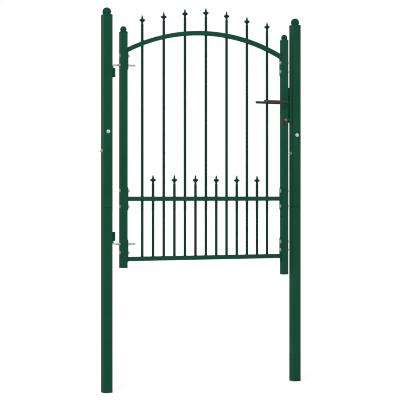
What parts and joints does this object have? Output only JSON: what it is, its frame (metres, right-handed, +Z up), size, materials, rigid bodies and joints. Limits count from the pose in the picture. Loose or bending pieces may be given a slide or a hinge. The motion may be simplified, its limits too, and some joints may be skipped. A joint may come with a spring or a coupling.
{
  "type": "garden gate",
  "caption": "Arched garden gate of spear-topped round bars, hung on hook rods between two ball-capped square steel posts, with lever handles and a lock.",
  "frame": {"origin": "centre of the hinge post's foot, on the ground face", "axes": "+X from the hinge post to the latch post, +Y to the back of the gate, +Z up"},
  "size_m": [1.0232, 0.102, 1.771],
  "materials": {
    "green_coat": "dark green powder coat, satin",
    "dark_plug": "dark green powder coat, satin",
    "zinc": "bright zinc plating",
    "plain_steel": "plain rolled steel",
    "satin_nickel": "satin nickel plating",
    "black_lever": "black satin coating"
  },
  "bodies": {
    "posts": {"hinge_post_foot": "dark_plug", "hinge_post_lower": "green_coat", "hinge_post_sleeve": "plain_steel", "hinge_post_upper": "green_coat", "hinge_post_cap": "green_coat", "latch_post_foot": "dark_plug", "latch_post_lower": "green_coat", "latch_post_sleeve": "plain_steel", "latch_post_upper": "green_coat", "latch_post_cap": "green_coat", "upper_hinge_lug": "green_coat", "lower_hinge_lug": "green_coat", "keep": "green_coat", "post_bolts": "zinc", "post_nuts": "zinc"},
    "leaf": {"hinge_stile": "green_coat", "hinge_stile_cap": "green_coat", "hinge_stile_plug": "dark_plug", "latch_stile": "green_coat", "latch_stile_cap": "green_coat", "latch_stile_plug": "dark_plug", "arch_rail": "green_coat", "middle_rail": "green_coat", "bottom_rail": "green_coat", "tall_bars": "green_coat", "short_bars": "green_coat", "tall_spears": "green_coat", "short_spears": "green_coat", "hinge_side_plates": "green_coat", "latch_side_plates": "green_coat", "upper_hinge_rod": "zinc", "lower_hinge_rod": "zinc", "hinge_rod_nuts": "zinc", "plate_bolts": "zinc", "plate_nuts": "zinc", "lock_face_plate": "satin_nickel", "lock_cylinder": "satin_nickel"},
    "handle": {"front_lever": "black_lever", "back_lever": "black_lever", "spindle": "plain_steel"}
  },
  "joints": [
    {"name": "gate_swing", "type": "hinge", "parent": "posts", "child": "leaf", "pos_m": [0.031, 0, 0.672], "axis": [0, 0, 1], "range_deg": [-90, 90]},
    {"name": "handle_turn", "type": "hinge", "parent": "leaf", "child": "handle", "pos_m": [0.905, 0, 1.34], "axis": [0, -1, 0], "range_deg": [0, 40], "stiffness_Nm_per_rad": 0.6, "springref_deg": -40.11}
  ]
}
